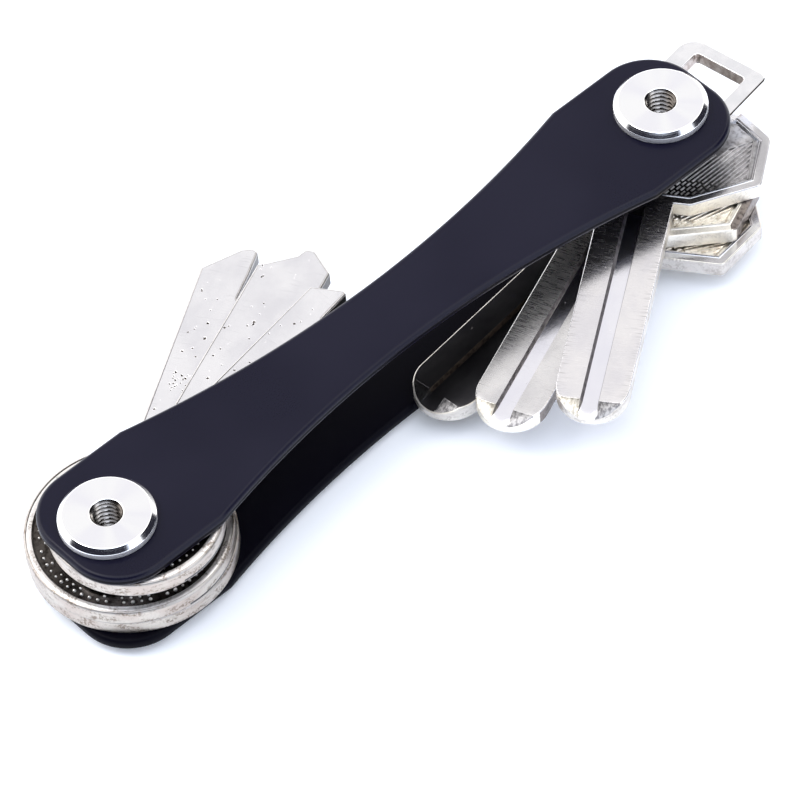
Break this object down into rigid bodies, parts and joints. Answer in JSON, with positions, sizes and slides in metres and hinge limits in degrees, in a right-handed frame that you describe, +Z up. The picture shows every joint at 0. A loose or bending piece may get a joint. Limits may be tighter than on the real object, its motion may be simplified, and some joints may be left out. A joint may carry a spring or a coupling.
{
  "type": "key organiser",
  "caption": "Pocket key organiser: waisted plates joined by flanged posts, with keys and a slotted loop for a split ring that swing out of the gap between the plates.",
  "frame": {"origin": "on the near post's axis, in the plane of the screw heads' undersides, which is what the part lies on", "axes": "+X from the near post to the far post, where the loop is; +Z up, towards the open threads; +Y across the plates, the side the near keys are swung to"},
  "size_m": [0.1079, 0.0528, 0.0159],
  "materials": {
    "plates": "dark navy anodised, satin",
    "posts": "turned and polished",
    "keys": "nickel-plated, fine scratches",
    "loop": "polished",
    "spacers": "plain"
  },
  "bodies": {
    "organiser": {"top_plate": "plates", "bottom_plate": "plates", "near_post": "posts", "near_flange": "posts", "far_post": "posts", "far_flange": "posts", "near_screw": "posts", "near_shank": "posts", "far_screw": "posts", "far_shank": "posts", "near_spacer_1": "spacers", "near_spacer_2": "spacers", "near_spacer_3": "spacers", "near_spacer_4": "spacers", "far_spacer_1": "spacers", "far_spacer_2": "spacers"},
    "near_key_top": {"near_key_top": "keys"},
    "near_key_middle": {"near_key_middle": "keys"},
    "near_key_bottom": {"near_key_bottom": "keys"},
    "far_key_top": {"far_key_top": "keys"},
    "far_key_middle": {"far_key_middle": "keys"},
    "far_key_bottom": {"far_key_bottom": "keys"},
    "loop": {"loop_tab": "loop"}
  },
  "joints": [
    {"name": "near_top_swing", "type": "hinge", "parent": "organiser", "child": "near_key_top", "pos_m": [0, 0, 0], "axis": [0, 0, 1], "range_deg": [-9, 171]},
    {"name": "near_middle_swing", "type": "hinge", "parent": "organiser", "child": "near_key_middle", "pos_m": [0, 0, 0], "axis": [0, 0, 1], "range_deg": [-23.2, 156.8]},
    {"name": "near_bottom_swing", "type": "hinge", "parent": "organiser", "child": "near_key_bottom", "pos_m": [0, 0, 0], "axis": [0, 0, 1], "range_deg": [-29, 148]},
    {"name": "far_top_swing", "type": "hinge", "parent": "organiser", "child": "far_key_top", "pos_m": [0.0867, 0, 0], "axis": [0, 0, -1], "range_deg": [-144.6, 35.4]},
    {"name": "far_middle_swing", "type": "hinge", "parent": "organiser", "child": "far_key_middle", "pos_m": [0.0867, 0, 0], "axis": [0, 0, -1], "range_deg": [-158, 22]},
    {"name": "far_bottom_swing", "type": "hinge", "parent": "organiser", "child": "far_key_bottom", "pos_m": [0.0867, 0, 0], "axis": [0, 0, -1], "range_deg": [-173.6, 6.4]},
    {"name": "loop_swing", "type": "hinge", "parent": "organiser", "child": "loop", "pos_m": [0.0867, 0, 0], "axis": [0, 0, 1], "continuous": true}
  ]
}
